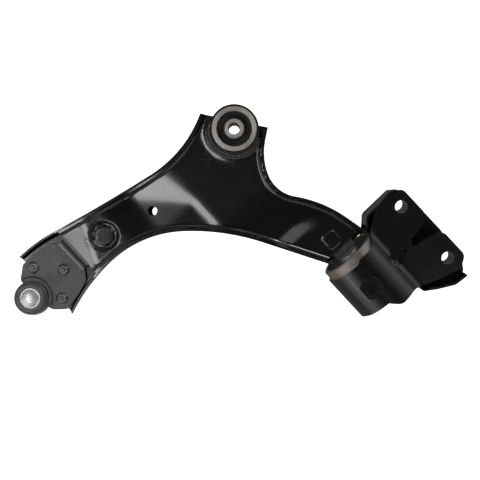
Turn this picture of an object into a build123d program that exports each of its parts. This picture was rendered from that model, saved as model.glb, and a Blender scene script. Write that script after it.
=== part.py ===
"""Front lower control arm of a car: a pressed-steel L-shaped arm with an upright rubber bush at its
elbow, a riveted ball joint at its outer end and a hydraulic bush in a bolted bracket at its rear end.

Frame: the origin is the centre of the front bush. +Z runs up the bush's bore, +X towards the rear bush
(level), and the ball joint lies towards -Y. The arm swings about the hinge line, which starts at the
origin and falls by HINGE_TILT towards +X. Everything on that line is drawn in the hinge frame.
"""

import os
from math import atan2, cos, degrees, radians, sin, sqrt, tan

from build123d import *

os.makedirs("parts", exist_ok=True)

# --- Driving dimensions, in millimetres and degrees -------------------------------------------------
HINGE_TILT = 10.0

# Arm pressings: heights are above the arm's reference surface.
REF_Z = -11.6
RIM_TOP = 16.0
PAN_FLOOR = 10.0
SHEET = 3.0
WALL = 2.6
BELLY = -16.0
BEND_START = 70.0
BEND_RADIUS = 150.0
ARM_REAR = 209.0
PAN_REAR = 199.5
PAN_OUTER_END = -248.0
ARM_OUTER_END = -306.0
OUTER_FILLET = 6.0
INNER_FILLET = 3.4
PAN_FILLET = 4.6
PAN_WALL = 2.5
FIT = 0.1
DRAIN = (4.0, -143.8)
DRAIN_RADIUS = 6.0
DISH = (-14.2, -209.1)
DISH_R = 19.0
DISH_BOTTOM_R = 13.0
DISH_DEPTH = 4.5
BUTTON_R = 12.6
BUTTON_HEIGHT = 2.6
ARM_PAD = (183.5, -3.6)
PAD_FLOOR = 12.6
PAD_HEIGHT = 2.0

# Front bush, upright at the origin.
BOLT_BORE = 7.1
FRONT_SLEEVE_R = 12.0
FRONT_SLEEVE_HALF = 31.0
FRONT_RING_R = 27.9
FRONT_RING_HALF = 27.0
FRONT_RING_LIP = 21.7
FRONT_RING_WAIST = 24.6
FRONT_TUBE_R = 30.5
FRONT_TUBE_TOP = 26.0

# Ball joint, centred BALL_X, BALL_Y, BALL_Z.
BALL_X = -20.0
BALL_Y = -330.0
BALL_Z = -17.0
BALL_R = 15.0
HOUSING_R = 21.0
HOUSING_TOP = 3.0
HOUSING_BOTTOM = -31.0
PLATE_THICK = 8.0
RIVET_R = 5.0
RIVET_HEAD_R = 7.2
RIVETS = [(-26.5, 27.5), (26.5, 27.5), (1.5, 53.5)]
BALL_SEAT_R = 17.0
CAP_R = 13.6
CAP_FOOT = -1.8
BOOT_SEAT_R = 18.2
STUD_NECK_R = 7.0
STUD_TAPER_R = 9.4
STUD_TAPER_TOP = -51.0
STUD_TAPER_LENGTH = 20.0
STUD_THREAD_R = 7.0
STUD_END = -91.0

# Rear bush and its bracket, in the hinge frame.
CAN_R = 38.0
CAN_FRONT = 213.0
CAN_REAR = 290.0
CAN_WALL = 2.0
CORE_R = 15.0
PIN_R = 10.0
EAR_FACE = 17.0
BEND_R = 15.0
BRACKET_SHEET = 3.0
GUSSET = (256.5, 44.0)
GUSSET_TURN = 216.0
GUSSET_DEPTH = 6.0
PIN_ROOT_HALF = 9.6
EAR_HOLE_R = 8.25
EAR_HOLES = [(214.0, 89.0), (304.0, 89.0)]
SPACER_R = 12.0
STRAP_PAD = (259.5, 12.0)

HINGE = Plane(
    origin=(0, 0, 0),
    x_dir=(cos(radians(HINGE_TILT)), 0, -sin(radians(HINGE_TILT))),
    z_dir=(sin(radians(HINGE_TILT)), 0, cos(radians(HINGE_TILT))),
)
ACROSS = Plane(HINGE.origin, x_dir=(0, 1, 0), z_dir=HINGE.x_dir)


UPRIGHT = Plane((0, 0, 0), x_dir=(0, 0, 1), z_dir=(0, 1, 0))
ALONG_HINGE = Plane((0, 0, 0), x_dir=HINGE.x_dir, z_dir=(0, -1, 0))
BALL_AXIS = Plane((BALL_X, BALL_Y, 0), x_dir=(0, 0, 1), z_dir=(0, 1, 0))

STRAP_PAD_PLANE = Plane(
    origin=HINGE.from_local_coords((STRAP_PAD[0], -(CAN_R + 2.6) * sin(radians(STRAP_PAD[1])),
                                    (CAN_R + 2.6) * cos(radians(STRAP_PAD[1])))),
    x_dir=HINGE.x_dir,
    z_dir=HINGE.from_local_coords((0, -sin(radians(STRAP_PAD[1])), cos(radians(STRAP_PAD[1])))),
)


def save(builder, name):
    """Labels a finished piece and writes it as one STEP file."""
    builder.part.label = name
    export_step(builder.part, f"parts/{name}.step")
    return builder.part


def across_at(x):
    """Plane square to the hinge line, x along it from the front bush: sketch X is +Y, sketch Y is up."""
    return Plane(HINGE.from_local_coords((x, 0, 0)), x_dir=ACROSS.x_dir, z_dir=ACROSS.z_dir)


def turned(points, axis_plane):
    """Solid of revolution: points are (distance along the plane's X axis, radius)."""
    with BuildPart() as piece:
        with BuildSketch(axis_plane):
            with BuildLine():
                Polyline(*points, close=True)
            make_face()
        revolve(axis=Axis(axis_plane.origin, axis_plane.x_dir))
    return piece.part


def ring(inner, outer, start, end, axis_plane):
    """Plain ring between two radii, from start to end along the axis."""
    return turned([(start, inner), (start, outer), (end, outer), (end, inner)], axis_plane)


def wire_ring(radius, height, wire_radius, axis_plane):
    """Ring of round wire."""
    with BuildPart() as piece:
        with BuildSketch(axis_plane):
            with Locations((height, radius)):
                Circle(wire_radius)
        revolve(axis=Axis(axis_plane.origin, axis_plane.x_dir))
    return piece.part


# --- Arm plan and section ---------------------------------------------------------------------------
def arm_plan(inset=0.0):
    """The arm's edge in plan, run past its three open ends so that the side walls stay open there."""
    with BuildSketch() as plan:
        with BuildLine():
            tip = Line((-69.2, -330), (-68.2, -300))
            shoulder = TangentArc(tip @ 1, (-61.8, -256), tangent=tip % 1)
            leading = TangentArc(shoulder @ 1, (-30, -114), tangent=shoulder % 1)
            horn = TangentArc(leading @ 1, (-41.7, -22), tangent=leading % 1)
            horn_end = horn @ 1 + (horn % 1) * 40
            Polyline(horn @ 1, horn_end, (12, 53))
            front_horn = Line((12, 53), (36, 19.5))
            valley = TangentArc(front_horn @ 1, (69, -6.8), tangent=front_horn % 1)
            rise = TangentArc(valley @ 1, (112.5, -1), tangent=valley % 1)
            crest = TangentArc(rise @ 1, (176.5, 29), tangent=rise % 1)
            crest_end = crest @ 1 + (crest % 1) * 40
            Polyline(crest @ 1, crest_end, (216, -20.7))
            lower = Line((216, -20.7), (128, -69.2))
            sweep_in = TangentArc(lower @ 1, (49, -133), tangent=lower % 1)
            leg = TangentArc(sweep_in @ 1, (14.6, -227), tangent=sweep_in % 1)
            flare = TangentArc(leg @ 1, (28, -302), tangent=leg % 1)
            flare_end = flare @ 1 + (flare % 1) * 29
            Polyline(flare @ 1, flare_end, tip @ 0)
        make_face()
        if inset:
            offset(amount=-inset, kind=Kind.INTERSECTION)
    return plan.sketch


def slab(low, high):
    """Space between two heights over the arm's reference surface, which is level and then falls rearwards."""
    bend_end_x = BEND_START + BEND_RADIUS * sin(radians(HINGE_TILT))
    bend_drop = BEND_RADIUS * (1 - cos(radians(HINGE_TILT)))
    far_x = 260.0
    far_drop = bend_drop + (far_x - bend_end_x) * tan(radians(HINGE_TILT))
    bottom = REF_Z + low
    top = REF_Z + high
    with BuildPart() as space:
        with BuildSketch(Plane.XZ):
            with BuildLine():
                Line((-120, bottom), (BEND_START, bottom))
                TangentArc((BEND_START, bottom), (bend_end_x, bottom - bend_drop), tangent=(1, 0))
                Line((bend_end_x, bottom - bend_drop), (far_x, bottom - far_drop))
                Line((far_x, bottom - far_drop), (far_x, top - far_drop))
                Line((far_x, top - far_drop), (bend_end_x, top - bend_drop))
                TangentArc((BEND_START, top), (bend_end_x, top - bend_drop), tangent=(1, 0))
                Line((BEND_START, top), (-120, top))
                Line((-120, top), (-120, bottom))
            make_face()
        extrude(amount=400, both=True)
    return space.part


def floor_edges(part):
    """Edges between a pressing's lowest faces and its side walls."""
    downward = [f for f in part.faces() if f.normal_at().Z < -0.5]
    edges = [e for f in downward for e in f.outer_wire().edges()]
    places = [tuple(round(v, 2) for v in e.center()) for e in edges]
    return [e for e, place in zip(edges, places) if places.count(place) == 1]


def pan_solid(inset, low, high, radius):
    """Filled pressing with a rounded foot, before its ends are trimmed."""
    with BuildPart() as solid:
        with BuildSketch(Plane.XY.offset(-100)):
            add(arm_plan(inset))
        extrude(amount=200)
        add(slab(low, high), mode=Mode.INTERSECT)
        fillet(floor_edges(solid.part), radius)
    return solid.part


def front_trim(gap):
    """Space the pressings leave free at the front bush: its tube, and all beyond the line between the horns."""
    with BuildPart() as free:
        with BuildSketch(Plane.XY.offset(-100)):
            Circle(FRONT_TUBE_R + gap)
            with BuildLine():
                Polyline((-41 - 141, -15 - 100), (-41 + 134, -15 + 95), (-60, 240), (-260, 100), close=True)
            make_face()
        extrude(amount=200)
    return free.part


# --- Arm shells -------------------------------------------------------------------------------------
FLOOR_Z = REF_Z + PAN_FLOOR
PLATE_FOOT = REF_Z + BELLY + SHEET
LIP_Z = PLATE_FOOT + PLATE_THICK + 0.05 + SHEET

with BuildPart() as lower_shell:
    add(pan_solid(0, BELLY, RIM_TOP, OUTER_FILLET))
    add(pan_solid(WALL, BELLY + SHEET, 90, INNER_FILLET), mode=Mode.SUBTRACT)
    add(front_trim(0.05), mode=Mode.SUBTRACT)
    with BuildSketch(Plane.XY.offset(-100)):
        with Locations((BALL_X, ARM_OUTER_END - 50)):
            Rectangle(200, 100)
        with Locations((BALL_X, BALL_Y)):
            Circle(HOUSING_R + 7)
        with Locations((7.5, -140.5)):
            Circle(DRAIN_RADIUS)
        with Locations(*[(BALL_X + x, BALL_Y + y) for x, y in RIVETS]):
            Circle(RIVET_R)
    extrude(amount=200, mode=Mode.SUBTRACT)
    with BuildSketch(across_at(ARM_REAR)):
        Rectangle(200, 200)
    extrude(amount=100, mode=Mode.SUBTRACT)
    with BuildSketch(Plane.YZ.offset(-150)):
        with BuildLine():
            Polyline((-246, 6), (-320, -18), (-320, 40), (-246, 40), close=True)
        make_face()
    extrude(amount=300, mode=Mode.SUBTRACT)
save(lower_shell, "lower_shell")

with BuildPart() as upper_shell:
    add(pan_solid(WALL + FIT, PAN_FLOOR - SHEET, RIM_TOP - 0.8, PAN_FILLET + 2))
    with BuildSketch(Plane.XY.offset(FLOOR_Z - SHEET)):
        with Locations(DISH):
            Circle(DISH_BOTTOM_R + SHEET + 4)
    extrude(amount=-DISH_DEPTH, taper=45)
    add(pan_solid(WALL + FIT + PAN_WALL, PAN_FLOOR, 90, PAN_FILLET), mode=Mode.SUBTRACT)
    with BuildSketch(Plane.XY.offset(FLOOR_Z)):
        with Locations(DISH):
            Circle(DISH_R)
    extrude(amount=-DISH_DEPTH, taper=40, mode=Mode.SUBTRACT)
    with BuildSketch(Plane.XY.offset(FLOOR_Z - DISH_DEPTH)):
        with Locations(DISH):
            Circle(BUTTON_R)
    extrude(amount=BUTTON_HEIGHT, taper=30)
    dish_rings = [e for e in upper_shell.edges().filter_by(GeomType.CIRCLE)
                  if e.radius > 10 and (e.arc_center - Vector(*DISH, 0)).cross(Vector(0, 0, 1)).length < 0.1
                  and e.arc_center.Z > FLOOR_Z - DISH_DEPTH - 0.1]
    fillet([e for e in dish_rings if abs(e.radius - DISH_R) < 0.1], 2)
    fillet([e for e in upper_shell.edges().filter_by(GeomType.CIRCLE)
            if 10 < e.radius < 12 and (e.arc_center - Vector(*DISH, 0)).cross(Vector(0, 0, 1)).length < 0.1], 1)
    with BuildSketch(HINGE.offset(PAD_FLOOR)):
        with Locations(ARM_PAD):
            RectangleRounded(20, 20, 6)
    extrude(amount=PAD_HEIGHT, taper=45)
    pad_face = upper_shell.faces().filter_by(lambda f: f.center().X > 175 and f.geom_type == GeomType.PLANE)
    fillet(pad_face.filter_by(lambda f: 200 < f.area < 300).edges(), 0.5)
    add(front_trim(0.05), mode=Mode.SUBTRACT)
    with BuildSketch(Plane.XY.offset(-100)):
        with Locations((BALL_X, PAN_OUTER_END - 100)):
            Rectangle(200, 200)
        with Locations(DRAIN):
            Circle(DRAIN_RADIUS)
    extrude(amount=200, mode=Mode.SUBTRACT)
    with BuildSketch(across_at(PAN_REAR)):
        Rectangle(200, 200)
    extrude(amount=100, mode=Mode.SUBTRACT)
    with BuildSketch(Plane.YZ.offset(-47)):
        with BuildLine():
            Polyline((-247, FLOOR_Z), (-250.4, FLOOR_Z), (-255.2, LIP_Z), (-263, LIP_Z), (-263, LIP_Z - SHEET),
                     (-253.2, LIP_Z - SHEET), (-248.4, FLOOR_Z - SHEET), (-247, FLOOR_Z - SHEET), close=True)
        make_face()
    extrude(amount=45)
save(upper_shell, "upper_shell")

# --- Front bush: tube welded in the arm, steel ring pressed in it, rubber, and the bolt sleeve ---------
TUBE_FOOT = REF_Z + BELLY - 0.8

with BuildPart() as front_bush_tube:
    add(ring(FRONT_RING_R, FRONT_TUBE_R, TUBE_FOOT, FRONT_TUBE_TOP, UPRIGHT))
    chamfer(front_bush_tube.edges().group_by(Axis.Z)[-1], 0.5)
save(front_bush_tube, "front_bush_tube")

with BuildPart() as front_bush_ring:
    half = FRONT_RING_HALF
    outer = FRONT_RING_R
    lip = FRONT_RING_LIP
    waist = FRONT_RING_WAIST
    upper_lip = [(half, lip), (half - 2.2, lip), (half - 4, waist)]
    lower_lip = [(4 - half, waist), (2.2 - half, lip), (-half, lip)]
    add(turned([(-half, outer), (half, outer)] + upper_lip + lower_lip, UPRIGHT))
    chamfer(front_bush_ring.edges().group_by(Axis.Z)[-1], 0.6)
    chamfer(front_bush_ring.edges().group_by(Axis.Z)[0], 0.6)
save(front_bush_ring, "front_bush_ring")

with BuildPart() as front_bush_rubber:
    hollow_top = [(23.5, 12), (23.5, 13.5), (18.5, 17.5), (20.5, 21.5), (20.5, 24.5)]
    hollow_foot = [(-height, radius) for height, radius in reversed(hollow_top)]
    add(turned(hollow_top + hollow_foot, UPRIGHT))
save(front_bush_rubber, "front_bush_rubber")

with BuildPart() as front_bush_sleeve:
    add(ring(BOLT_BORE, FRONT_SLEEVE_R, -FRONT_SLEEVE_HALF, FRONT_SLEEVE_HALF, UPRIGHT))
    chamfer(front_bush_sleeve.edges().filter_by(GeomType.CIRCLE), 0.8)
save(front_bush_sleeve, "front_bush_sleeve")

with BuildPart() as front_tube_weld:
    bead = [(FLOOR_Z, 0), (FLOOR_Z, 5), (FLOOR_Z + 2, 3.6), (FLOOR_Z + 4.4, 0)]
    add(turned([(height, FRONT_TUBE_R + width) for height, width in bead], UPRIGHT))
    with BuildSketch(Plane.XY.offset(-100)):
        add(arm_plan(WALL + FIT + PAN_WALL + PAN_FILLET))
    extrude(amount=200, mode=Mode.INTERSECT)
    add(front_trim(0.0), mode=Mode.SUBTRACT)
save(front_tube_weld, "front_tube_weld")

# --- Arm's rear end: forged pin on the hinge line, its washer, and the inner half of the rear bush ------
with BuildPart() as rear_pin:
    with BuildSketch(across_at(162)):
        RectangleRounded(32, 2 * PIN_ROOT_HALF, 3)
    extrude(amount=ARM_REAR - 162)
    add(ring(0, 17, ARM_REAR + 0.05, CAN_FRONT, ALONG_HINGE))
    add(ring(0, 9, ARM_REAR - 5, ARM_REAR + 1, ALONG_HINGE))
    tail = [(CAN_FRONT, 0), (CAN_FRONT, PIN_R), (CAN_REAR + 4.5, PIN_R), (CAN_REAR + 6, 8), (CAN_REAR + 6, 0)]
    add(turned(tail, ALONG_HINGE))
save(rear_pin, "rear_pin")

with BuildPart() as rear_pin_washer:
    add(ring(PIN_R, 21, CAN_REAR + 1, CAN_REAR + 4, ALONG_HINGE))
    chamfer(rear_pin_washer.edges().filter_by(GeomType.CIRCLE).sort_by(SortBy.RADIUS)[-2:], 0.6)
save(rear_pin_washer, "rear_pin_washer")

with BuildPart() as rear_bush_core:
    add(ring(PIN_R, CORE_R, CAN_FRONT, CAN_REAR + 1, ALONG_HINGE))
save(rear_bush_core, "rear_bush_core")

# --- Rear bush: rubber with two fluid chambers, cage, channel ring and steel can ------------------------
CAN_MID = (CAN_FRONT + CAN_REAR) / 2
CAGE_R = 33.8
CAGE_HALF = 32.5
CHANNEL_R = 35.8

with BuildPart() as rear_bush_rubber:
    front_end = [(-31, CORE_R), (-31, 18), (-25, 22), (-25, 27), (-31, 31), (-31, 32.3)]
    rear_end = [(-height, radius) for height, radius in reversed(front_end)]
    add(turned([(CAN_MID + height, radius) for height, radius in front_end + rear_end], ALONG_HINGE))
    with BuildSketch(across_at(CAN_MID - 12)):
        for side in (0, 180):
            with BuildLine():
                inner_arc = CenterArc((0, 0), 21, side - 38, 76)
                outer_arc = CenterArc((0, 0), 34, side - 38, 76)
                Line(inner_arc @ 0, outer_arc @ 0)
                Line(inner_arc @ 1, outer_arc @ 1)
            make_face()
    extrude(amount=24, mode=Mode.SUBTRACT)
save(rear_bush_rubber, "rear_bush_rubber")

with BuildPart() as rear_bush_cage:
    wall_in = CAGE_R - 1.4
    cage = [
        (-CAGE_HALF, wall_in),
        (-CAGE_HALF, CHANNEL_R),
        (-CAGE_HALF + 3, CHANNEL_R),
        (-CAGE_HALF + 3, CAGE_R),
        (CAGE_HALF - 3, CAGE_R),
        (CAGE_HALF - 3, CHANNEL_R),
        (CAGE_HALF, CHANNEL_R),
        (CAGE_HALF, wall_in),
    ]
    add(turned([(CAN_MID + height, radius) for height, radius in cage], ALONG_HINGE))
    with BuildSketch(Plane(HINGE.from_local_coords((CAN_MID, -60, 0)), x_dir=HINGE.x_dir, z_dir=(0, 1, 0))):
        RectangleRounded(24, 38, 4)
    extrude(amount=120, mode=Mode.SUBTRACT)
save(rear_bush_cage, "rear_bush_cage")

with BuildPart() as rear_bush_channel:
    half_height = CAGE_HALF - 3.2
    add(ring(CAGE_R + 0.05, CHANNEL_R, CAN_MID - half_height, CAN_MID + half_height, ALONG_HINGE))
    for groove in (-16, 0, 16):
        start = CAN_MID + groove - 4
        add(ring(CHANNEL_R - 1, CHANNEL_R + 1, start, start + 8, ALONG_HINGE), mode=Mode.SUBTRACT)
    with BuildSketch(across_at(CAN_FRONT)):
        Rectangle(0.6, 90)
    extrude(amount=CAN_REAR - CAN_FRONT, mode=Mode.SUBTRACT)
save(rear_bush_channel, "rear_bush_channel")

with BuildPart() as rear_bush_can:
    wall_in = CAN_R - CAN_WALL
    lip = CAN_R - 5
    can = [
        (CAN_FRONT, lip),
        (CAN_FRONT, CAN_R - 1.5),
        (CAN_FRONT + 1.5, CAN_R),
        (CAN_REAR - 1.5, CAN_R),
        (CAN_REAR, CAN_R - 1.5),
        (CAN_REAR, lip),
        (CAN_REAR - CAN_WALL, lip),
        (CAN_REAR - CAN_WALL, wall_in),
        (CAN_FRONT + CAN_WALL, wall_in),
        (CAN_FRONT + CAN_WALL, lip),
    ]
    add(turned(can, ALONG_HINGE))
save(rear_bush_can, "rear_bush_can")

# --- Bracket: two pressed halves clamped round the can, with ears for two upright bolts -----------------
STRAP_MID = CAN_R + 0.05 + BRACKET_SHEET / 2
EAR_MID = EAR_FACE - BRACKET_SHEET / 2
BEND_CENTRE_Y = sqrt((STRAP_MID + BEND_R) ** 2 - (EAR_MID + BEND_R) ** 2)
LEAVE_ANGLE = degrees(atan2(EAR_MID + BEND_R, BEND_CENTRE_Y))
SEAM_ANGLE = 205.5
SEAM_HALF = 2.3


def bracket_section(upward):
    """Sheet wrapped round the can and bent out flat into an ear, over the bracket's whole length."""
    sign = 1 if upward else -1
    wrap = SEAM_ANGLE - SEAM_HALF if upward else SEAM_ANGLE + SEAM_HALF - 360
    with BuildPart() as sheet:
        with BuildSketch(across_at(180)):
            with BuildLine():
                strap = CenterArc((0, 0), STRAP_MID, wrap, sign * LEAVE_ANGLE - wrap)
                bend = CenterArc((BEND_CENTRE_Y, sign * (EAR_MID + BEND_R)), BEND_R,
                                 sign * (180 + LEAVE_ANGLE), sign * (90 - LEAVE_ANGLE))
                ear = Line((BEND_CENTRE_Y, sign * EAR_MID), (112, sign * EAR_MID))
            trace(line_width=BRACKET_SHEET)
        extrude(amount=160)
    return sheet.part


def lower_plan(inset=0.0):
    """Outline of the lower half in the hinge plane."""
    with BuildSketch(HINGE) as plan:
        with BuildLine():
            Polyline((225.5, -50), (225.5, 18), (192.5, 48), (192, 92), (200, 102), (216, 108), (278, 109),
                     (326, 104), (340, 95), (338, 74), (326, 53), (309, 29), (307, 8), (287, -8), (287, -50),
                     close=True)
        make_face()
        fillet([v for v in plan.vertices() if v.Y > 90], 6)
        fillet([v for v in plan.vertices() if 0 < v.Y < 80 and abs(v.X - 228) > 8], 8)
        if inset:
            offset(amount=-inset, kind=Kind.INTERSECTION)
    return plan.sketch


def upper_plan():
    """Outline of the upper half in the hinge plane: the strap, and two ears with a notch between them."""
    with BuildSketch(HINGE.offset(-60)) as plan:
        with BuildLine():
            Polyline((225.5, -50), (225.5, -2), (222.5, 3), (222.5, 27), (206.5, 44.5), (197, 58), (192, 71), (189, 92),
                     (200, 105.5), (241, 106), (251, 92), (253.5, 69), (263.5, 66.5), (266, 90), (276, 107.5),
                     (316, 108), (326, 93), (317, 64), (302, 30), (302, 6), (289, -6), (287, -20), (287, -50),
                     close=True)
        make_face()
        fillet([v for v in plan.vertices() if v.Y > 88 and v.X < 300], 8)
        fillet([v for v in plan.vertices() if v.Y > 88 and v.X > 310], 10)
        fillet([v for v in plan.vertices() if 5 < v.Y < 65 and v.X > 280], 14)
        fillet([v for v in plan.vertices() if 2 < v.Y < 75 and v.X < 265], 4)
    return plan.sketch


with BuildPart() as bracket_upper:
    add(bracket_section(True))
    with BuildSketch(HINGE.offset(-60)):
        add(upper_plan())
    extrude(amount=120, mode=Mode.INTERSECT)
    with BuildSketch(HINGE.offset(EAR_FACE - BRACKET_SHEET)):
        with Locations(GUSSET):
            Trapezoid(32, 25, 72, rotation=GUSSET_TURN)
    extrude(amount=-GUSSET_DEPTH, taper=12)
    add(ring(0, CAN_R + 0.05, 180, 340, ALONG_HINGE), mode=Mode.SUBTRACT)
    with BuildSketch(HINGE.offset(EAR_FACE + 8)):
        with Locations(GUSSET):
            Trapezoid(33, 26, 72, rotation=GUSSET_TURN)
    extrude(amount=-GUSSET_DEPTH - 8, taper=20, mode=Mode.SUBTRACT)
    with BuildSketch(HINGE.offset(-60)):
        with Locations(*EAR_HOLES):
            Circle(EAR_HOLE_R)
    extrude(amount=120, mode=Mode.SUBTRACT)
    with BuildSketch(STRAP_PAD_PLANE):
        RectangleRounded(26, 26, 7)
    extrude(amount=1.9, taper=20)
    with BuildSketch(STRAP_PAD_PLANE.offset(1.9)):
        RectangleRounded(19, 19, 5)
    extrude(amount=-1.1, taper=30, mode=Mode.SUBTRACT)
save(bracket_upper, "bracket_upper")

with BuildPart() as bracket_lower:
    add(bracket_section(False))
    with BuildSketch(HINGE.offset(-60)):
        add(lower_plan())
    extrude(amount=120, mode=Mode.INTERSECT)
    with BuildSketch(HINGE.offset(-EAR_FACE)):
        with BuildLine():
            Polyline((198, 40), (180, 40), (180, 95), (206, 95), (206, 40), close=True)
        make_face()
        with BuildLine():
            Polyline((312, 26), (350, 26), (350, 93), (322, 93), (322, 62), close=True)
        make_face()
        add(lower_plan(), mode=Mode.INTERSECT)
        add(lower_plan(BRACKET_SHEET), mode=Mode.SUBTRACT)
    extrude(amount=2 * EAR_FACE - BRACKET_SHEET - 0.2)
    with BuildSketch(HINGE.offset(-60)):
        with Locations(*EAR_HOLES):
            Circle(EAR_HOLE_R)
    extrude(amount=120, mode=Mode.SUBTRACT)
save(bracket_lower, "bracket_lower")

with BuildPart() as bracket_spacers:
    with BuildSketch(HINGE.offset(BRACKET_SHEET - EAR_FACE)):
        with Locations(*EAR_HOLES):
            Circle(SPACER_R)
            Circle(EAR_HOLE_R, mode=Mode.SUBTRACT)
    extrude(amount=2 * (EAR_FACE - BRACKET_SHEET))
save(bracket_spacers, "bracket_spacers")

with BuildPart() as bracket_seam_weld:
    with BuildSketch(across_at(231)):
        with BuildLine():
            inner_arc = CenterArc((0, 0), STRAP_MID - 1.2, SEAM_ANGLE - 2.1, 4.2)
            outer_arc = CenterArc((0, 0), STRAP_MID + 1.9, SEAM_ANGLE - 2.1, 4.2)
            Line(inner_arc @ 0, outer_arc @ 0)
            Line(inner_arc @ 1, outer_arc @ 1)
        make_face()
    extrude(amount=49)
save(bracket_seam_weld, "bracket_seam_weld")

# --- Ball joint: forged housing with its riveted plate, seat, ball stud, closing disc, boot -------------
MOUTH_Z = BALL_Z - 8.2

with BuildPart() as ball_housing:
    with BuildSketch(Plane.XY.offset(PLATE_FOOT)):
        with BuildLine():
            Polyline((-45, -323), (-56, -309), (-57, -288), (-51, -266), (-44, -259.5), (-1, -259.5), (8, -266),
                     (14.5, -284), (18.5, -306), (8, -318), (-12, -326), close=True)
        make_face()
        fillet(vertices(), 4)
    extrude(amount=PLATE_THICK, taper=-17)
    with BuildSketch(Plane.XY.offset(PLATE_FOOT)):
        with Locations((BALL_X, BALL_Y)):
            Circle(HOUSING_R)
    extrude(amount=PLATE_THICK)
    with BuildSketch(Plane.XY.offset(PLATE_FOOT + PLATE_THICK)):
        with Locations((BALL_X, BALL_Y)):
            Circle(HOUSING_R + 6.5)
        with BuildLine():
            Polyline((-45, -324), (-56, -309), (-57, -288), (18, -288), (18.5, -306), (8, -318), (-12, -326),
                     close=True)
        make_face(mode=Mode.INTERSECT)
    extrude(amount=3, taper=40)
    outside = [
        (HOUSING_BOTTOM, 0),
        (HOUSING_BOTTOM, BOOT_SEAT_R),
        (HOUSING_BOTTOM + 4.5, BOOT_SEAT_R),
        (HOUSING_BOTTOM + 6, HOUSING_R),
        (HOUSING_TOP - 9, HOUSING_R),
        (HOUSING_TOP - 8, HOUSING_R - 1.8),
        (HOUSING_TOP - 2, HOUSING_R - 2.2),
        (HOUSING_TOP, HOUSING_R - 4.4),
        (HOUSING_TOP, 0),
    ]
    add(turned(outside, BALL_AXIS))
    inside = [
        (HOUSING_BOTTOM - 1, 0),
        (HOUSING_BOTTOM - 1, 16.6),
        (MOUTH_Z - 0.6, 13.7),
        (MOUTH_Z, BALL_SEAT_R),
        (CAP_FOOT + 2.6, BALL_SEAT_R),
        (CAP_FOOT + 2.6, CAP_R),
        (HOUSING_TOP + 1, CAP_R),
        (HOUSING_TOP + 1, 0),
    ]
    add(turned(inside, BALL_AXIS), mode=Mode.SUBTRACT)
    with BuildSketch(Plane.XY.offset(-60)):
        with Locations(*[(BALL_X + x, BALL_Y + y) for x, y in RIVETS]):
            Circle(RIVET_R)
    extrude(amount=80, mode=Mode.SUBTRACT)
save(ball_housing, "ball_housing")

with BuildPart() as ball_seat:
    add(turned([(MOUTH_Z + 0.05, 0), (MOUTH_Z + 0.05, BALL_SEAT_R), (CAP_FOOT - 0.05, BALL_SEAT_R),
                (CAP_FOOT - 0.05, 0)], BALL_AXIS))
    with Locations((BALL_X, BALL_Y, BALL_Z)):
        Sphere(BALL_R + 0.05, mode=Mode.SUBTRACT)
save(ball_seat, "ball_seat")

with BuildPart() as ball_cap:
    dome = [(CAP_FOOT, 0), (CAP_FOOT, BALL_SEAT_R), (CAP_FOOT + 2.5, BALL_SEAT_R), (CAP_FOOT + 2.5, CAP_R),
            (CAP_FOOT + 3.4, CAP_R - 1.5), (CAP_FOOT + 4.0, 8), (CAP_FOOT + 4.2, 0)]
    add(turned(dome, BALL_AXIS))
save(ball_cap, "ball_cap")

with BuildPart() as ball_stud:
    with Locations((BALL_X, BALL_Y, BALL_Z)):
        Sphere(BALL_R)
    taper_foot = STUD_TAPER_TOP - STUD_TAPER_LENGTH
    shank = [
        (BALL_Z - 8, 0),
        (BALL_Z - 8, STUD_NECK_R),
        (STUD_TAPER_TOP + 0.6, STUD_NECK_R),
        (STUD_TAPER_TOP, STUD_TAPER_R + 0.8),
        (STUD_TAPER_TOP - 1.5, STUD_TAPER_R + 0.8),
        (STUD_TAPER_TOP - 2, STUD_TAPER_R),
        (taper_foot, STUD_TAPER_R - STUD_TAPER_LENGTH / 16),
        (taper_foot - 1.5, STUD_THREAD_R),
        (STUD_END + 1, STUD_THREAD_R),
        (STUD_END, STUD_THREAD_R - 1),
        (STUD_END, 0),
    ]
    add(turned(shank, BALL_AXIS))
    with Locations((BALL_X, BALL_Y, BALL_Z + BALL_R)):
        Cylinder(5, 3, mode=Mode.SUBTRACT)
save(ball_stud, "ball_stud")

with BuildPart() as dust_boot:
    outside = [(-26.9, 20), (-32, 20.2), (-34.5, 21.8), (-38, 22.6), (-42, 21.6), (-44.8, 18.5), (-46.6, 13.5),
               (-47.4, 10.2), (STUD_TAPER_TOP + 0.9, 10.2)]
    inside = [(STUD_TAPER_TOP + 0.9, 7.2), (-45.5, 7.2), (-44, 11.5), (-42, 16.5), (-39.5, 19.6),
              (-37, 20.4), (-34, 19.6), (-32, 18.3), (-26.9, 18.3)]
    add(turned(outside + inside, BALL_AXIS))
save(dust_boot, "dust_boot")

with BuildPart() as boot_lower_ring:
    add(wire_ring(21.1, -29, 0.85, BALL_AXIS))
save(boot_lower_ring, "boot_lower_ring")

with BuildPart() as boot_upper_ring:
    add(wire_ring(11.05, STUD_TAPER_TOP + 2.1, 0.75, BALL_AXIS))
save(boot_upper_ring, "boot_upper_ring")

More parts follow.
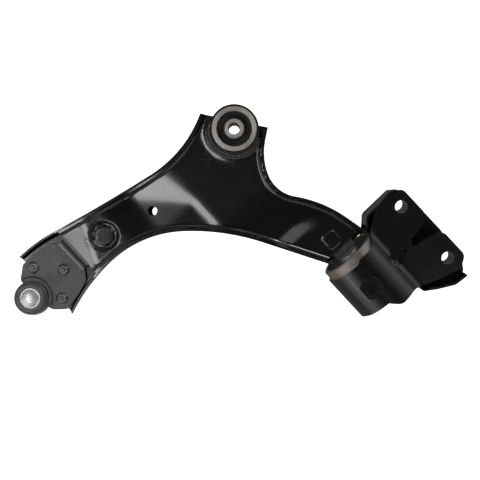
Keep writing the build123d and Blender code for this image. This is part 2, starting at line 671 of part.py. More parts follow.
with BuildPart() as rivets:
    plate_top = PLATE_FOOT + PLATE_THICK
    shell_foot = REF_Z + BELLY
    for x, y in RIVETS:
        axis = Plane((BALL_X + x, BALL_Y + y, 0), x_dir=(0, 0, 1), z_dir=(0, 1, 0))
        head = [(plate_top, RIVET_HEAD_R), (plate_top + 2.5, 6.2), (plate_top + 4.4, 3.6), (plate_top + 5, 2.4),
                (plate_top + 5.8, 1.6), (plate_top + 6, 0)]
        foot = [(shell_foot - 3.2, 0), (shell_foot - 3.2, 3.5), (shell_foot - 1.6, 6.2), (shell_foot, RIVET_HEAD_R)]
        shank = [(shell_foot, RIVET_R - 0.02), (plate_top, RIVET_R - 0.02)]
        add(turned(foot + shank + head, axis))
save(rivets, "rivets")
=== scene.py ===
# %% [markdown]
# # A pressed-steel control arm
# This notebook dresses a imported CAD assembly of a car's lower control arm: an L-shaped arm of two nested
# steel pressings, a rubber bush at its elbow, a ball joint riveted to its outer end and a large bush in a
# bolted bracket at its rear. The CAD gives every piece its place and size, in metres. Blender adds what
# a maker's eye looks for: the soft swell of pressed sheet, rounded edges, weld beads, rubber and finishes.

from math import atan2, cos, pi, radians, sin

import bmesh
import bpy
from mathutils import Matrix, Vector


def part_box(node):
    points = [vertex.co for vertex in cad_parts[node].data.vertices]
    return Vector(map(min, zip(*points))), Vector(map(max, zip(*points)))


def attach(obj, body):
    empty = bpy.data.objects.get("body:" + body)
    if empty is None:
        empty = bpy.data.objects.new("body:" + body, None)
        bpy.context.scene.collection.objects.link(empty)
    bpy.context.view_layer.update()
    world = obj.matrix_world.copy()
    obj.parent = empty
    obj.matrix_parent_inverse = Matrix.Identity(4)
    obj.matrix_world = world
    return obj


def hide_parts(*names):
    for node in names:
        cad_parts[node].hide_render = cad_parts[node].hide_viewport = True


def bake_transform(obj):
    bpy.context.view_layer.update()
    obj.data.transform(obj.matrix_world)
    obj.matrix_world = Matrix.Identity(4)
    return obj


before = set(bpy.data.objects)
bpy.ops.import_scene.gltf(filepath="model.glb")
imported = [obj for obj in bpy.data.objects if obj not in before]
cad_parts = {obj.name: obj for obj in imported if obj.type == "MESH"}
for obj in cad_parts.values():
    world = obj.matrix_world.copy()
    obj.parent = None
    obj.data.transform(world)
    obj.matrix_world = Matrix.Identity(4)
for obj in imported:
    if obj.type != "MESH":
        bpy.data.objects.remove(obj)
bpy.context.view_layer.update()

# %% [markdown]
# ## Camera first
# The arm is shown from straight above its middle, as on a light table, rolled so that the ball joint is at
# the lower left. A long lens from a little over two metres keeps the perspective weak, like a product shot.

# %% Camera
MM = 0.001
CAMERA_HEIGHT = 2.2
CAMERA_CENTRE = (0.1055, -0.0885)
CAMERA_ROLL = radians(47)
CAMERA_ANGLE = radians(15.53)

camera_data = bpy.data.cameras.new("camera")
camera_data.angle = CAMERA_ANGLE
camera_data.clip_end = 50
camera = bpy.data.objects.new("camera", camera_data)
camera.location = (*CAMERA_CENTRE, CAMERA_HEIGHT)
camera.rotation_euler = (0, 0, CAMERA_ROLL)
bpy.context.scene.collection.objects.link(camera)
bpy.context.scene.camera = camera
print("camera sees", round(2 * CAMERA_HEIGHT * 0.1364, 3), "m across")

# %% [markdown]
# ## Light table
# Black gloss paint is drawn by what it reflects. Level sheet should reflect darkness and stay black, so the
# world above is dim, and a few soft boxes stand to the sides where only curved or tilted sheet finds them.
# The floor is a wide pale sheet that glows a little, so the object is cut out cleanly. Mirror reflections
# leave it out, because it would turn the glossy side walls white.

# %% Floor, world and soft boxes
FLOOR_Z = -0.16


def node_material(name):
    """New material with an empty node tree: (material, nodes, links)."""
    material = bpy.data.materials.new(name)
    material.use_nodes = True
    material.node_tree.nodes.clear()
    return material, material.node_tree.nodes, material.node_tree.links


def add_mesh(name, bm):
    """Turns a bmesh into a linked object at the origin."""
    mesh = bpy.data.meshes.new(name)
    bm.to_mesh(mesh)
    bm.free()
    thing = bpy.data.objects.new(name, mesh)
    bpy.context.scene.collection.objects.link(thing)
    return thing


bm = bmesh.new()
bmesh.ops.create_grid(bm, x_segments=1, y_segments=1, size=6)
bmesh.ops.translate(bm, vec=(0, 0, FLOOR_Z), verts=bm.verts)
floor = add_mesh("floor", bm)
floor_material, nodes, links = node_material("pale_floor")
surface = nodes.new("ShaderNodeBsdfPrincipled")
surface.inputs["Base Color"].default_value = (0.9, 0.9, 0.9, 1)
surface.inputs["Roughness"].default_value = 0.9
surface.inputs["Emission Color"].default_value = (1, 1, 1, 1)
surface.inputs["Emission Strength"].default_value = 0.75
output = nodes.new("ShaderNodeOutputMaterial")
links.new(surface.outputs[0], output.inputs[0])
floor.data.materials.append(floor_material)
floor.visible_glossy = False

world = bpy.data.worlds.new("dim_studio")
bpy.context.scene.world = world
world.use_nodes = True
tree = world.node_tree
sky_place = tree.nodes.new("ShaderNodeTexCoord")
sky_height = tree.nodes.new("ShaderNodeSeparateXYZ")
sky_range = tree.nodes.new("ShaderNodeMapRange")
sky_range.inputs["From Min"].default_value = -1
sky = tree.nodes.new("ShaderNodeValToRGB")
SKY_STEPS = [(0.0, 0.10), (0.42, 0.22), (0.52, 0.85), (0.66, 0.75), (0.80, 0.26), (0.93, 0.025)]
while len(sky.color_ramp.elements) < len(SKY_STEPS):
    sky.color_ramp.elements.new(0.5)
for element, (place, strength) in zip(sky.color_ramp.elements, SKY_STEPS):
    element.position = place
    element.color = (strength, strength, strength, 1)
tree.links.new(sky_place.outputs["Generated"], sky_height.inputs[0])
tree.links.new(sky_height.outputs["Z"], sky_range.inputs["Value"])
tree.links.new(sky_range.outputs["Result"], sky.inputs["Fac"])
tree.links.new(sky.outputs["Color"], tree.nodes["Background"].inputs["Strength"])
tree.nodes["Background"].inputs["Color"].default_value = (0.97, 0.98, 1, 1)

ARM_MIDDLE = Vector((0.10, -0.10, -0.02))


def soft_box(name, bearing, off_vertical, distance, size, power, tint=(1, 1, 1)):
    """Area light on a bearing in the picture (0 right, 90 up), tipped off the vertical, facing the arm."""
    angle = radians(bearing) + CAMERA_ROLL
    tip = radians(off_vertical)
    direction = Vector((sin(tip) * cos(angle), sin(tip) * sin(angle), cos(tip)))
    data = bpy.data.lights.new(name, "AREA")
    data.shape = "RECTANGLE"
    data.size, data.size_y = size
    data.energy = power
    data.color = tint
    light = bpy.data.objects.new(name, data)
    light.location = ARM_MIDDLE + direction * distance
    light.rotation_euler = direction.to_track_quat("Z", "Y").to_euler()
    bpy.context.scene.collection.objects.link(light)
    return light


soft_box("soft_box_left", 195, 18, 2.6, (1.5, 0.52), 19)
soft_box("soft_box_near", 222, 52, 2.6, (2.2, 2.0), 24, (1, 0.985, 0.96))
soft_box("soft_box_far", 45, 55, 2.6, (0.8, 0.6), 20)
soft_box("soft_box_right", -47, 42, 2.6, (0.9, 0.8), 3.2)
bpy.context.scene.view_settings.view_transform = "Standard"

# %% [markdown]
# ## Surface effects shared by several finishes
# Three effects come back again and again, so each is a node group with named inputs: a fine ripple, as in
# paint that has dried on steel; blotches, as of handling marks and uneven coats; and turning marks round an
# axis, as a lathe leaves. A group puts out only a number, and each material decides what it does with it.

# %% Node groups


def effect_group(name, inputs, outputs):
    """New shader node group with a vector input and float sockets: (group, group's input node, output node).
    """
    group = bpy.data.node_groups.new(name, "ShaderNodeTree")
    group.interface.new_socket("Vector", in_out="INPUT", socket_type="NodeSocketVector")
    for socket, value in inputs:
        made = group.interface.new_socket(socket, in_out="INPUT", socket_type="NodeSocketFloat")
        made.default_value = value
    for socket in outputs:
        group.interface.new_socket(socket, in_out="OUTPUT", socket_type="NodeSocketFloat")
    return group, group.nodes.new("NodeGroupInput"), group.nodes.new("NodeGroupOutput")


def noise_node(tree, size_mm, detail, roughness=0.5):
    """Noise texture whose cells are about size_mm across, on metre coordinates."""
    noise = tree.nodes.new("ShaderNodeTexNoise")
    noise.inputs["Scale"].default_value = 1000 / size_mm
    noise.inputs["Detail"].default_value = detail
    noise.inputs["Roughness"].default_value = roughness
    return noise


ripple_group, inside, outside = effect_group("ripple", [("Cell", 400.0), ("Detail", 2.0)], ["Height"])
noise = noise_node(ripple_group, 2.5, 2)
ripple_group.links.new(inside.outputs["Vector"], noise.inputs["Vector"])
ripple_group.links.new(inside.outputs["Cell"], noise.inputs["Scale"])
ripple_group.links.new(inside.outputs["Detail"], noise.inputs["Detail"])
ripple_group.links.new(noise.outputs["Fac"], outside.inputs["Height"])

blotch_group, inside, outside = effect_group(
    "blotches", [("Scale", 30.0), ("Low", 0.2), ("High", 0.4)], ["Value"])
broad = noise_node(blotch_group, 30, 4, 0.6)
fine = noise_node(blotch_group, 4, 3, 0.7)
mixed = blotch_group.nodes.new("ShaderNodeMath")
mixed.operation = "MULTIPLY"
ranged = blotch_group.nodes.new("ShaderNodeMapRange")
ranged.inputs["From Min"].default_value = 0.12
ranged.inputs["From Max"].default_value = 0.42
blotch_group.links.new(inside.outputs["Vector"], broad.inputs["Vector"])
blotch_group.links.new(inside.outputs["Scale"], broad.inputs["Scale"])
blotch_group.links.new(inside.outputs["Vector"], fine.inputs["Vector"])
blotch_group.links.new(broad.outputs["Fac"], mixed.inputs[0])
blotch_group.links.new(fine.outputs["Fac"], mixed.inputs[1])
blotch_group.links.new(mixed.outputs[0], ranged.inputs["Value"])
blotch_group.links.new(inside.outputs["Low"], ranged.inputs["To Min"])
blotch_group.links.new(inside.outputs["High"], ranged.inputs["To Max"])
blotch_group.links.new(ranged.outputs["Result"], outside.inputs["Value"])

turning_group, inside, outside = effect_group("turning_marks", [("Rings per metre", 2500.0)], ["Height"])
rings = turning_group.nodes.new("ShaderNodeTexWave")
rings.wave_type = "RINGS"
rings.rings_direction = "Z"
rings.inputs["Scale"].default_value = 2500
rings.inputs["Distortion"].default_value = 1.5
rings.inputs["Detail"].default_value = 2
turning_group.links.new(inside.outputs["Vector"], rings.inputs["Vector"])
turning_group.links.new(inside.outputs["Rings per metre"], rings.inputs["Scale"])
turning_group.links.new(rings.outputs["Fac"], outside.inputs["Height"])
print("groups:", [g.name for g in bpy.data.node_groups])

# %% [markdown]
# ## Finishes
# Every finish is one Principled surface. Numbers that are the same all over sit on its own sockets, and the
# groups feed only what changes over the surface: colour between two tones, roughness, and the height of a
# Bump. Coordinates are Object coordinates in metres, because every piece keeps its place in its mesh. A
# Mapping node turns them so that lathe marks run round the right axis.

# %% Finish builder
HINGE_TILT = radians(10)


def finish(name, dark, light, rough, metallic=0.0, coat=0.0, coat_rough=0.1, specular=0.5, blotch=30,
           ripple=None, turning=None, turn_about=(0, 0, 0), turn_angle=(0, 0, 0)):
    """Material from two tones and a roughness range, with optional ripple (cell, depth) and turning marks."""
    material, nodes, links = node_material(name)
    surface = nodes.new("ShaderNodeBsdfPrincipled")
    surface.inputs["Metallic"].default_value = metallic
    surface.inputs["Coat Weight"].default_value = coat
    surface.inputs["Coat Roughness"].default_value = coat_rough
    surface.inputs["Specular IOR Level"].default_value = specular
    output = nodes.new("ShaderNodeOutputMaterial")
    links.new(surface.outputs[0], output.inputs["Surface"])
    place = nodes.new("ShaderNodeTexCoord")

    tone = nodes.new("ShaderNodeGroup")
    tone.node_tree = blotch_group
    tone.inputs["Scale"].default_value = blotch
    tone.inputs["Low"].default_value = 0
    tone.inputs["High"].default_value = 1
    ramp = nodes.new("ShaderNodeMix")
    ramp.data_type = "RGBA"
    ramp.inputs["A"].default_value = (*dark, 1)
    ramp.inputs["B"].default_value = (*light, 1)
    links.new(place.outputs["Object"], tone.inputs["Vector"])
    links.new(tone.outputs[0], ramp.inputs["Factor"])
    links.new(ramp.outputs["Result"], surface.inputs["Base Color"])

    haze = nodes.new("ShaderNodeGroup")
    haze.node_tree = blotch_group
    haze.inputs["Scale"].default_value = blotch * 0.6
    haze.inputs["Low"].default_value = rough[0]
    haze.inputs["High"].default_value = rough[1]
    links.new(place.outputs["Object"], haze.inputs["Vector"])
    links.new(haze.outputs[0], surface.inputs["Roughness"])

    normal = None
    if ripple:
        wave = nodes.new("ShaderNodeGroup")
        wave.node_tree = ripple_group
        wave.inputs["Cell"].default_value = 1000 / ripple[0]
        wave.inputs["Detail"].default_value = ripple[2] if len(ripple) > 2 else 2
        bump = nodes.new("ShaderNodeBump")
        bump.inputs["Distance"].default_value = ripple[1]
        links.new(place.outputs["Object"], wave.inputs["Vector"])
        links.new(wave.outputs["Height"], bump.inputs["Height"])
        normal = bump
    if turning:
        mapping = nodes.new("ShaderNodeMapping")
        mapping.vector_type = "TEXTURE"
        mapping.inputs["Location"].default_value = turn_about
        mapping.inputs["Rotation"].default_value = turn_angle
        marks = nodes.new("ShaderNodeGroup")
        marks.node_tree = turning_group
        marks.inputs["Rings per metre"].default_value = turning[0]
        bump = nodes.new("ShaderNodeBump")
        bump.inputs["Distance"].default_value = turning[1]
        links.new(place.outputs["Object"], mapping.inputs["Vector"])
        links.new(mapping.outputs[0], marks.inputs["Vector"])
        links.new(marks.outputs["Height"], bump.inputs["Height"])
        if normal:
            links.new(normal.outputs["Normal"], bump.inputs["Normal"])
        normal = bump
    if normal:
        links.new(normal.outputs["Normal"], surface.inputs["Normal"])
    return material


# %% The finishes
BALL_CENTRE = (-0.020, -0.330, -0.017)
ALONG_HINGE = (0, radians(100), 0)

gloss_black = finish("gloss_black_paint", (0.0025, 0.0025, 0.0025), (0.005, 0.005, 0.0048), (0.17, 0.24),
                     coat=0.35, coat_rough=0.1, ripple=(9.0, 0.00003, 1))
weld_black = finish("painted_weld", (0.006, 0.006, 0.006), (0.015, 0.015, 0.014), (0.25, 0.4), coat=0.3,
                    coat_rough=0.2, ripple=(2.2, 0.0004, 3))
front_steel = finish("turned_steel_front", (0.27, 0.245, 0.22), (0.40, 0.37, 0.34), (0.34, 0.5), metallic=0.9,
                     blotch=60, turning=(900, 0.00002))
can_steel = finish("drawn_steel_can", (0.18, 0.156, 0.135), (0.27, 0.24, 0.212), (0.36, 0.52), metallic=0.85,
                   blotch=50, turning=(700, 0.00002), turn_angle=ALONG_HINGE)
cap_steel = finish("zinc_plate", (0.39, 0.40, 0.395), (0.48, 0.49, 0.48), (0.30, 0.36), metallic=0.55,
                   blotch=40, turning=(900, 0.000004), turn_about=BALL_CENTRE)
dark_forging = finish("phosphated_forging", (0.026, 0.026, 0.025), (0.058, 0.058, 0.055), (0.36, 0.52),
                      blotch=70, ripple=(1.6, 0.0002, 4))
rivet_steel = finish("rivet_steel", (0.035, 0.035, 0.034), (0.07, 0.07, 0.068), (0.22, 0.34), blotch=90,
                     specular=0.8)
pin_forging = finish("pin_forging", (0.02, 0.02, 0.021), (0.05, 0.05, 0.05), (0.35, 0.55), blotch=60,
                     ripple=(1.6, 0.0002, 4))
stud_steel = finish("ground_steel", (0.33, 0.33, 0.34), (0.46, 0.46, 0.47), (0.22, 0.38), metallic=1,
                    blotch=80, turning=(1500, 0.00001), turn_about=BALL_CENTRE)
black_rubber = finish("black_rubber", (0.010, 0.010, 0.010), (0.024, 0.024, 0.023), (0.48, 0.68),
                      blotch=60, ripple=(1.0, 0.0001, 3), specular=0.4)
core_aluminium = finish("cast_core", (0.4, 0.4, 0.4), (0.52, 0.52, 0.52), (0.4, 0.55), metallic=1, blotch=60,
                        ripple=(0.8, 0.00006, 3))
seat_acetal = finish("seat_acetal", (0.62, 0.6, 0.54), (0.7, 0.68, 0.62), (0.35, 0.5), blotch=60)
channel_nylon = finish("channel_nylon", (0.02, 0.02, 0.021), (0.035, 0.035, 0.036), (0.4, 0.6), blotch=60,
                       ripple=(0.7, 0.00004))

NODE_FINISH = {
    "lower_shell": gloss_black, "upper_shell": gloss_black, "front_bush_tube": gloss_black,
    "front_tube_weld": weld_black, "front_bush_ring": front_steel, "front_bush_rubber": black_rubber,
    "front_bush_sleeve": front_steel, "rear_pin": pin_forging, "rear_pin_washer": can_steel,
    "rear_bush_core": core_aluminium, "rear_bush_rubber": black_rubber, "rear_bush_cage": can_steel,
    "rear_bush_channel": channel_nylon, "rear_bush_can": can_steel, "bracket_upper": gloss_black,
    "bracket_lower": gloss_black, "bracket_spacers": gloss_black, "bracket_seam_weld": weld_black,
    "ball_housing": dark_forging, "ball_seat": seat_acetal, "ball_cap": cap_steel, "ball_stud": stud_steel,
    "dust_boot": black_rubber, "boot_lower_ring": cap_steel, "boot_upper_ring": cap_steel,
    "rivets": dark_forging,
}
for node, material in NODE_FINISH.items():
    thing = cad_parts[node]
    thing.data.materials.clear()
    thing.data.materials.append(material)
print(len(NODE_FINISH), "nodes finished of", len(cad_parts))

# %% [markdown]
# ## Pressed sheet
# Pressed steel has no sharp corners. A copy of each CAD shell is merged into one skin, its flat regions are
# dissolved into large faces, and a Bevel modifier rounds what is left sharp. Weighted normals keep the flats
# flat while the bends shade smoothly, which is what makes black paint look like paint.

# %% Skin helper


def skin_copy(node, name, merge=0.00001, dissolve=0.4):
    """Merged copy of a CAD node as a bmesh, with its flat regions dissolved into large faces."""
    bm = bmesh.new()
    bm.from_mesh(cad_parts[node].data)
    bmesh.ops.remove_doubles(bm, verts=bm.verts, dist=merge)
    if dissolve:
        bmesh.ops.dissolve_limit(bm, angle_limit=radians(dissolve), use_dissolve_boundaries=False,
                                 verts=bm.verts, edges=bm.edges)
    return bm


def dress(thing, node, body, material, bevel=None, smooth_angle=35, weighted=True):
    """Rounds, smooths and paints a piece that stands for a CAD node, and makes it ride on its body."""
    thing.data.materials.clear()
    thing.data.materials.append(material)
    thing.data.polygons.foreach_set("use_smooth", [True] * len(thing.data.polygons))
    thing.data.set_sharp_from_angle(angle=radians(smooth_angle))
    if bevel:
        rounding = thing.modifiers.new("rounded_edges", "BEVEL")
        rounding.width = bevel
        rounding.segments = 3
        rounding.limit_method = "ANGLE"
        rounding.angle_limit = radians(40)
        rounding.harden_normals = False
        rounding.miter_outer = "MITER_ARC"
    if weighted:
        weights = thing.modifiers.new("flat_faces_stay_flat", "WEIGHTED_NORMAL")
        weights.keep_sharp = True
        weights.weight = 80
    if node:
        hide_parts(node)
    if body:
        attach(thing, body)
    return thing


SKINS = {
    "lower_shell": ("arm", "lower_pressing", gloss_black, "gloss_black_paint", 0.0006),
    "bracket_upper": ("rear_bracket", "bracket_strap_and_ears", gloss_black, "gloss_black_paint", 0.0007),
    "bracket_lower": ("rear_bracket", "bracket_lower_half", gloss_black, "gloss_black_paint", 0.0007),
    "front_bush_tube": ("arm", "front_tube", gloss_black, "gloss_black_paint", None),
    "front_bush_ring": ("arm", "front_steel_ring", front_steel, "satin_steel", None),
    "front_bush_sleeve": ("front_sleeve", "front_bolt_sleeve", front_steel, "satin_steel", None),
    "rear_bush_can": ("rear_bracket", "rear_steel_can", can_steel, "satin_steel", None),
    "ball_housing": ("arm", "ball_joint_housing", dark_forging, "dark_forging", 0.0012),
    "rear_pin": ("arm", "rear_forged_pin", pin_forging, "dark_forging", 0.001),
    "rear_pin_washer": ("arm", "rear_pin_washer_ring", can_steel, "bright_steel", None),
    "rear_bush_core": ("arm", "rear_cast_core", core_aluminium, "cast_aluminium", None),
    "rear_bush_cage": ("rear_bracket", "rear_cage_ring", can_steel, "satin_steel", None),
    "ball_stud": ("stud", "ball_and_stud", stud_steel, "machined_steel", None),
    "bracket_spacers": ("rear_bracket", "ear_spacers", gloss_black, "gloss_black_paint", None),
}
for node, (body, name, material, slot, bevel) in SKINS.items():
    skin = add_mesh(name, skin_copy(node, name))
    dress(skin, node, body, material, bevel)
    print(name, len(skin.data.polygons), "faces")

# %% [markdown]
# ## The upper pressing
# Its floor isn't flat. It ramps down along the leg towards the ball joint. Past a fold at the pan's end it
# falls away, and only the dish stays level there. It rises in a collar to the front tube, and in a wedge
# along the rear leg that ends in a facet. The merged copy is cut into a fine grid by planes, and each point
# moves by a smooth formula that fades out up the walls, so the rims keep their CAD shape.

# %% Upper pressing
PAN_FLOOR_Z = -0.0016
GRID = 0.004


def smooth(value, low, high):
    """0 below low, 1 above high, eased between them."""
    t = min(1.0, max(0.0, (value - low) / (high - low)))
    return t * t * (3 - 2 * t)


bm = skin_copy("upper_shell", "upper", dissolve=0.3)
low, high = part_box("upper_shell")
for axis in (0, 1):
    normal = Vector((1, 0, 0)) if axis == 0 else Vector((0, 1, 0))
    place = low[axis] + GRID
    while place < high[axis]:
        point = Vector((place, 0, 0)) if axis == 0 else Vector((0, place, 0))
        bmesh.ops.bisect_plane(bm, geom=bm.verts[:] + bm.edges[:] + bm.faces[:], dist=0.000001,
                               plane_co=point, plane_no=normal)
        place += GRID


def floor_level(x):
    """Height of the pan's floor at rest: level to the front, then falling with the rear leg."""
    bend_start, bend_radius = 0.070, 0.150
    end = bend_start + bend_radius * sin(HINGE_TILT)
    if x < bend_start:
        return PAN_FLOOR_Z
    if x < end:
        return PAN_FLOOR_Z - bend_radius + (bend_radius**2 - (x - bend_start) ** 2) ** 0.5
    drop = bend_radius * (1 - cos(HINGE_TILT))
    return PAN_FLOOR_Z - drop - (x - end) * sin(HINGE_TILT) / cos(HINGE_TILT)


DISH = Vector((-0.0142, -0.2091, 0))
DISH_RIM = (0.0195, 0.0215)
PAD = Vector((0.1832, -0.0036, 0))
PAD_HALF = 0.012

LEG_RAMP_Y = -0.089
LEG_RAMP_SLOPE = 0.1
LEG_RAMP_LENGTH = 0.047
LEG_RAMP_TAPER = 0.95
LEG_RAMP_SHORTEST = 0.018
LEG_RAMP_LONGEST = 0.070
LEG_RAMP_FADE = (0.150, 0.195)

FOLD_POINT = Vector((-0.044, -0.216, 0))
FOLD_DOWN = Vector((-0.405, -0.914, 0))
FOLD_SLOPE = 0.125
FOLD_EASE = 0.004

COLLAR_RISE = 0.0032
COLLAR_RING = (0.031, 0.041)

WEDGE_RISE = 0.0030
WEDGE_BEGINS = (0.100, 0.138)
WEDGE_EDGE_Y = 0.009
WEDGE_WIDTH = 0.037
FACET_X = 0.147
FACET_SLANT = 0.009
FACET_LENGTH = 0.016

BELOW_FLOOR = -0.0085
WALL_FADE = (0.0004, 0.0110)


def floor_shift(x, y):
    """How far the tool moved the floor up from its CAD level."""
    flat = Vector((x, y, 0))
    length = min(LEG_RAMP_LONGEST, max(LEG_RAMP_SHORTEST, LEG_RAMP_LENGTH - LEG_RAMP_TAPER * x))
    leg = -LEG_RAMP_SLOPE * length * smooth(LEG_RAMP_Y - y, 0, length) * (1 - smooth(-y, *LEG_RAMP_FADE))
    past_fold = (flat - FOLD_POINT).dot(FOLD_DOWN)
    fall = -FOLD_SLOPE * max(0.0, past_fold) * smooth(past_fold, 0, FOLD_EASE)
    fall *= smooth((flat - DISH).length, *DISH_RIM)
    collar = COLLAR_RISE * (1 - smooth(flat.length, *COLLAR_RING))
    wedge = min(1.0, max(0.0, (WEDGE_EDGE_Y - y) / WEDGE_WIDTH))
    facet_start = FACET_X - FACET_SLANT * wedge
    facet = min(1.0, max(0.0, (x - facet_start) / FACET_LENGTH))
    rear = WEDGE_RISE * wedge * smooth(x, *WEDGE_BEGINS) * (1 - facet)
    return leg + fall + collar + rear


moved = 0
for v in bm.verts:
    above = v.co.z - floor_level(v.co.x)
    if above < BELOW_FLOOR:
        continue
    on_pad = max(abs(v.co.x - PAD.x), abs(v.co.y - PAD.y)) < PAD_HALF
    hold = 0 if on_pad else smooth(above, *WALL_FADE)
    v.co.z += floor_shift(v.co.x, v.co.y) * (1 - hold)
    moved += 1
print("floor points raised:", moved)
upper = add_mesh("upper_pressing", bm)
dress(upper, "upper_shell", "arm", gloss_black, None, weighted=False)

# %% [markdown]
# ## Turned and moulded pieces
# Rubbers, the dust boot, the closing disc and the rivets are all round. Each is a few (height, radius) points
# joined into a wire, with a vertex bevel to round its corners, and spun about its own axis. The rubbers are
# spun in place, and their transforms are baked into their meshes.

# %% Turning helper
HINGE_TURN = Matrix.Rotation(radians(100), 4, "Y")
BALL_AXIS_PLACE = Matrix.Translation((BALL_CENTRE[0], BALL_CENTRE[1], 0))


def spun(name, profiles, place=Matrix.Identity(4), rounding=0.4, steps=96, sweep=2 * pi, seam=None):
    """Turns (height, radius) profiles in millimetres, rounding each corner that isn't at the seam height."""
    bm = bmesh.new()
    corners = []
    for points in profiles:
        verts = [bm.verts.new((radius * MM, 0, height * MM)) for height, radius in points]
        for pair in zip(verts, verts[1:]):
            bm.edges.new(pair)
        closed = points[0][1] > 0
        if closed:
            bm.edges.new((verts[-1], verts[0]))
        inner = verts if closed else verts[1:-1]
        corners += [v for v in inner if seam is None or abs(v.co.z - seam * MM) > 0.00001]
    if rounding:
        bmesh.ops.bevel(bm, geom=corners, affect="VERTICES", offset=rounding * MM, offset_type="OFFSET",
                        segments=3, profile=0.5, clamp_overlap=True, material=-1)
    full = sweep > 6.28
    bmesh.ops.spin(bm, geom=bm.verts[:] + bm.edges[:], axis=(0, 0, 1), cent=(0, 0, 0), angle=sweep,
                   steps=steps, use_merge=full)
    bmesh.ops.remove_doubles(bm, verts=bm.verts, dist=0.000002)
    if not full:
        bmesh.ops.holes_fill(bm, edges=[e for e in bm.edges if e.is_boundary], sides=0)
    bmesh.ops.recalc_face_normals(bm, faces=bm.faces)
    bmesh.ops.transform(bm, matrix=place, verts=bm.verts)
    return add_mesh(name, bm)


def mirrored(face):
    """Both ends of a bush from the points of one end."""
    return face + [(-height, radius) for height, radius in reversed(face)]


def radial_blend(thing):
    """Bakes a rubber's object transform into its mesh."""
    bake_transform(thing)


# %% Bush rubbers
front_face = [(24.4, 12.0), (24.4, 13.3), (20.8, 14.3), (18.6, 15.8), (19.8, 17.2), (18.4, 18.8),
              (18.8, 20.4), (21.6, 21.6), (22.8, 24.5)]
front_rubber = spun("front_rubber", [mirrored(front_face)])
dress(front_rubber, "front_bush_rubber", None, black_rubber, smooth_angle=60)
radial_blend(front_rubber)

rear_face = [(33.0, 15.0), (33.0, 17.0), (29.5, 18.6), (26.6, 21.6), (27.2, 25.6), (30.6, 28.4), (33.2, 29.8),
             (33.2, 32.3)]
rear_rubber = spun("rear_rubber", [mirrored(rear_face)], HINGE_TURN @ Matrix.Translation((0, 0, 0.2515)))
dress(rear_rubber, "rear_bush_rubber", None, black_rubber, smooth_angle=60)
radial_blend(rear_rubber)
print("rubbers:", len(front_rubber.data.polygons), len(rear_rubber.data.polygons), "faces")

# %% Dust boot in two halves, either side of its widest ring
boot_lower = [(-26.9, 20.0), (-32.0, 20.1), (-34.0, 21.4), (-36.4, 22.4), (-38.0, 22.6), (-38.0, 20.4),
              (-36.4, 20.3), (-34.0, 19.5), (-32.0, 18.3), (-26.9, 18.3)]
boot_upper = [(-38.0, 22.6), (-40.0, 22.4), (-42.4, 21.0), (-43.6, 18.8), (-45.4, 17.2), (-46.2, 14.4),
              (-47.4, 12.6), (-47.9, 10.2), (-50.1, 10.2), (-50.1, 7.2), (-45.6, 7.2), (-44.4, 11.5),
              (-42.4, 15.9), (-40.4, 19.2), (-38.0, 20.4)]
SEAM = -38.0
lower_boot = spun("boot_by_the_housing", [boot_lower], BALL_AXIS_PLACE, seam=SEAM)
upper_boot = spun("boot_by_the_stud", [boot_upper], BALL_AXIS_PLACE, seam=SEAM)
for piece in (lower_boot, upper_boot):
    dress(piece, "dust_boot", None, black_rubber, smooth_angle=60)
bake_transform(lower_boot)
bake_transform(upper_boot)
print("boot:", len(lower_boot.data.polygons) + len(upper_boot.data.polygons), "faces")

# %% Closing disc and rivets
disc = [(-1.7, 0), (-1.7, 16.9), (0.6, 16.9), (0.6, 13.5), (1.5, 13.3), (1.9, 12.3), (1.5, 11.2), (2.4, 9.4),
        (3.2, 6.0), (3.6, 3.0), (3.7, 0)]
closing_disc = spun("closing_disc", [disc], BALL_AXIS_PLACE, rounding=0.5)
dress(closing_disc, "ball_cap", "arm", cap_steel, smooth_angle=60)

rivet_head = [(-17.2, 0), (-17.2, 7.9), (-16.0, 7.9), (-15.6, 6.9), (-13.6, 6.2), (-12.3, 4.4), (-12.6, 3.2),
              (-11.2, 2.3), (-10.7, 1.2), (-10.6, 0)]
rivet_foot = [(-27.0, 0), (-27.0, 7.2), (-29.2, 6.2), (-30.6, 3.6), (-30.9, 0)]
RIVETS = [(-26.5, 27.5), (26.5, 27.5), (1.5, 53.5)]
for index, (x, y) in enumerate(RIVETS):
    place = Matrix.Translation((BALL_CENTRE[0] + x * MM, BALL_CENTRE[1] + y * MM, 0))
    rivet = spun(f"rivet_{index + 1}", [rivet_head, rivet_foot], place, rounding=0.5, steps=48)
    dress(rivet, "rivets", "arm", rivet_steel, smooth_angle=60)
print("disc and", len(RIVETS), "rivets")

# %% Folded lips: where the pan's end turns down to the ball joint's plate, and at its rear end
def rod(name, start, end, radius):
    """Round bar with domed ends between two points."""
    start, end = Vector(start), Vector(end)
    bm = bmesh.new()
    bmesh.ops.create_cone(bm, cap_ends=True, segments=24, radius1=radius, radius2=radius,
                          depth=(end - start).length)
    rims = [e for e in bm.edges if abs(e.verts[0].co.z - e.verts[1].co.z) < 0.00001]
    bmesh.ops.bevel(bm, geom=rims, affect="EDGES", offset=radius * 0.7, offset_type="OFFSET", segments=3,
                    profile=0.5, clamp_overlap=True, material=-1)
    turn = (end - start).to_track_quat("Z", "Y").to_matrix().to_4x4()
    bmesh.ops.transform(bm, matrix=Matrix.Translation((start + end) / 2) @ turn, verts=bm.verts)
    return add_mesh(name, bm)


end_fold = rod("end_fold", (-0.0455, -0.2553, -0.0134), (-0.0035, -0.2553, -0.0134), 0.0009)
rear_fold = rod("rear_fold", (0.1987, -0.0205, -0.0223), (0.1987, 0.0170, -0.0223), 0.0008)
for fold in (end_fold, rear_fold):
    dress(fold, None, "arm", gloss_black, smooth_angle=60)

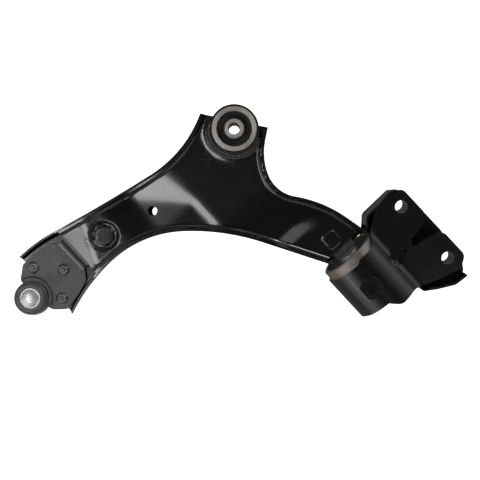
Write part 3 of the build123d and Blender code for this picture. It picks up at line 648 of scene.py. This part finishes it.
# %% [markdown]
# ## Weld beads and spatter
# A weld is a row of frozen puddles. Each bead is a round bar, spun or straight, whose radius swells and
# shrinks along its length, and a few droplets lie beside it where they landed.

# %% Welds
WELD_MIDDLE = radians(-54.7)


def round_bar(height, radius, thick):
    """Points of a round section for spun()."""
    return [(height + thick * sin(pi * i / 5), radius + thick * cos(pi * i / 5)) for i in range(10)]


def puddles(thing, count, depth):
    """Swells a spun bead in steps along its sweep."""
    for v in thing.data.vertices:
        angle = atan2(v.co.y, v.co.x)
        swell = depth * abs(sin(angle * count)) + 0.4 * depth * sin(angle * 7.3) - 0.5 * depth
        outward = Vector((v.co.x, v.co.y, 0)).normalized()
        v.co += (outward + Vector((0, 0, 0.8))) * swell


passes = [("tube_weld_upper", 2.0, 31.6, 2.3, 84, 0.0006), ("tube_weld_lower", 0.9, 35.0, 1.7, 78, 0.0005)]
for name, height, radius, thick, half_sweep, depth in passes:
    turn = Matrix.Rotation(WELD_MIDDLE - radians(half_sweep), 4, "Z")
    bead = spun(name, [round_bar(height, radius, thick)], turn, rounding=0, steps=220,
                sweep=radians(2 * half_sweep))
    puddles(bead, 26, depth)
    dress(bead, "front_tube_weld", "arm", weld_black, smooth_angle=70)

bm = bmesh.new()
bmesh.ops.create_cone(bm, cap_ends=True, segments=20, radius1=0.0022, radius2=0.0022, depth=0.049)
for step in range(1, 41):
    bmesh.ops.bisect_plane(bm, geom=bm.verts[:] + bm.edges[:] + bm.faces[:], dist=0.000001,
                           plane_co=(0, 0, -0.0245 + step * 0.0012), plane_no=(0, 0, 1))
for v in bm.verts:
    v.co.xy *= 0.86 + 0.2 * abs(sin(v.co.z * 900)) + 0.05 * sin(v.co.z * 310)
seam_angle = radians(205.5)
seam_place = Matrix.Translation((-0.0393 * sin(seam_angle), 0.0393 * cos(seam_angle), 0.2555))
bmesh.ops.transform(bm, matrix=HINGE_TURN @ seam_place, verts=bm.verts)
seam_bead = add_mesh("bracket_seam_bead", bm)
dress(seam_bead, "bracket_seam_weld", "rear_bracket", weld_black, smooth_angle=70)

DROPLETS = 46
bm = bmesh.new()
for index in range(DROPLETS):
    spread = 0.0019 * index**0.5
    angle = index * 2.4
    patch = (0.0065, -0.0456) if index % 3 else (0.0217, -0.0350)
    x = patch[0] + spread * cos(angle)
    y = patch[1] + 0.8 * spread * sin(angle)
    away = (x * x + y * y) ** 0.5
    z = PAN_FLOOR_Z + 0.0035 * (1 - smooth(away, 0.031, 0.044))
    size = 0.0003 + 0.00045 * abs(sin(index * 5.1))
    bmesh.ops.create_icosphere(bm, subdivisions=2, radius=size, matrix=Matrix.Translation((x, y, z)))
spatter = add_mesh("weld_spatter", bm)
dress(spatter, None, "arm", weld_black, smooth_angle=80)
print("welds:", len(passes) + 1, "beads and", DROPLETS, "droplets")
